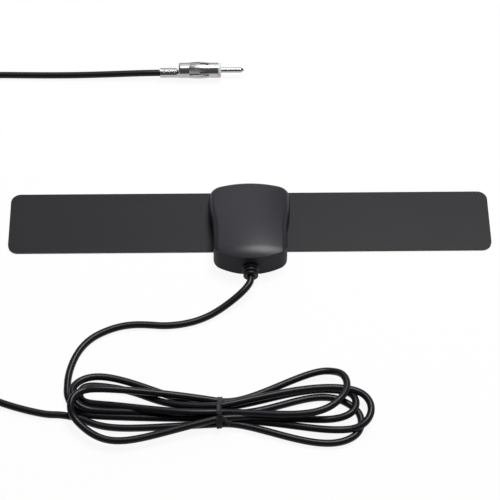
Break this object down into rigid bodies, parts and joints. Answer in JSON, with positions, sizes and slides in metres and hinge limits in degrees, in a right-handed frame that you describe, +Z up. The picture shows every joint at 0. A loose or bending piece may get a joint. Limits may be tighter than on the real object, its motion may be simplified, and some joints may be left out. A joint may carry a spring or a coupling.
{
  "type": "adhesive car antenna",
  "caption": "Flat stick-on strip antenna with a crowned amplifier housing, a tied coaxial lead and a radio plug.",
  "frame": {"origin": "centre of the strip's adhesive side, at the face of its liner", "axes": "+X along the strip, +Z up out of the mounting surface, the lead leaves the housing towards -Y"},
  "size_m": [0.315, 0.2575, 0.018],
  "materials": {
    "film": "satin",
    "foam_adhesive": "matt",
    "liner": "matt",
    "foil": "bright",
    "housing": "satin",
    "base": "matt",
    "screw_steel": "bright",
    "boot": "satin",
    "board": "satin",
    "chip_body": "matt",
    "chip_ceramic": "matt",
    "coil_core": "matt",
    "rivet_brass": "bright",
    "lead_jacket": "satin",
    "dielectric": "satin",
    "braid": "satin",
    "tie": "satin",
    "nickel": "bright",
    "nylon": "satin"
  },
  "bodies": {
    "root": {"release_liner": "liner", "adhesive_sheet": "foam_adhesive", "antenna_film": "film", "foil_arm_left": "foil", "foil_arm_right": "foil", "housing_cover": "housing", "housing_base": "base", "housing_screws": "screw_steel", "strain_relief": "boot", "circuit_board": "board", "amplifier_transistor": "chip_body", "chip_capacitors": "chip_ceramic", "chip_resistors": "chip_body", "matching_coil": "coil_core", "contact_rivets": "rivet_brass", "lead_entry": "lead_jacket", "lead_core": "dielectric", "braid_tail": "braid", "lead": "lead_jacket", "lead_hank": "lead_jacket", "plug_lead": "lead_jacket", "twist_tie": "tie", "plug_sleeve": "nickel", "plug_insulator": "nylon", "plug_pin": "nickel", "plug_jacket": "lead_jacket", "plug_braid": "braid", "plug_core": "dielectric"}
  },
  "joints": []
}
